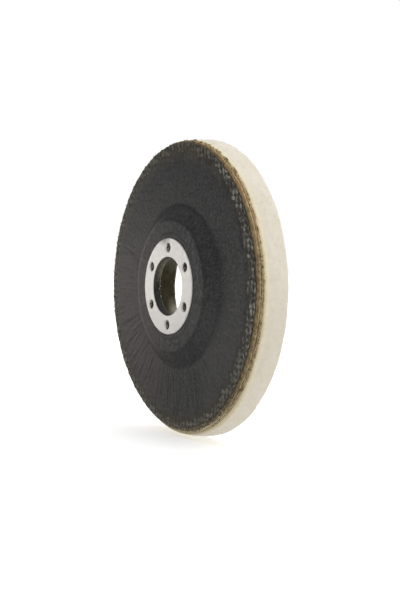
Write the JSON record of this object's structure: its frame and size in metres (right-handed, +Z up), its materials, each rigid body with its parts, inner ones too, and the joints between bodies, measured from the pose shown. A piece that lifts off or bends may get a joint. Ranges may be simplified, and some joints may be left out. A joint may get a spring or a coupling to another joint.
{
  "type": "felt polishing wheel",
  "caption": "Hard felt polishing ring bonded to a depressed-centre backing plate of black cloth and resin-bonded glass mesh, with a pierced steel arbor ring in its bore.",
  "frame": {"origin": "on the wheel's axis, where the arbor bore meets the rear face of the steel ring", "axes": "+Y along the wheel's axis from the steel ring towards the felt, +Z up, with one pierced hole at the top"},
  "size_m": [0.116, 0.0162, 0.116],
  "materials": {
    "ring_steel": "matte zinc-plated sheet steel",
    "black_cloth": "resin-coated black cloth, matte",
    "coated_glass": "glass mesh soaked with black resin",
    "glass_laminate": "tan resin-bonded glass mesh, satin",
    "glue": "cured adhesive soaked into felt",
    "felt": "hard pressed wool felt, off-white",
    "bore_resin": "dark brown resin soaked into felt, satin"
  },
  "bodies": {
    "root": {"arbor_ring": "ring_steel", "rear_facing": "black_cloth", "rear_glass_ply": "coated_glass", "middle_glass_ply": "glass_laminate", "front_glass_ply": "glass_laminate", "hub_reinforcement": "glass_laminate", "glue_line": "glue", "felt_ring": "felt", "bore_lining": "bore_resin"}
  },
  "joints": []
}
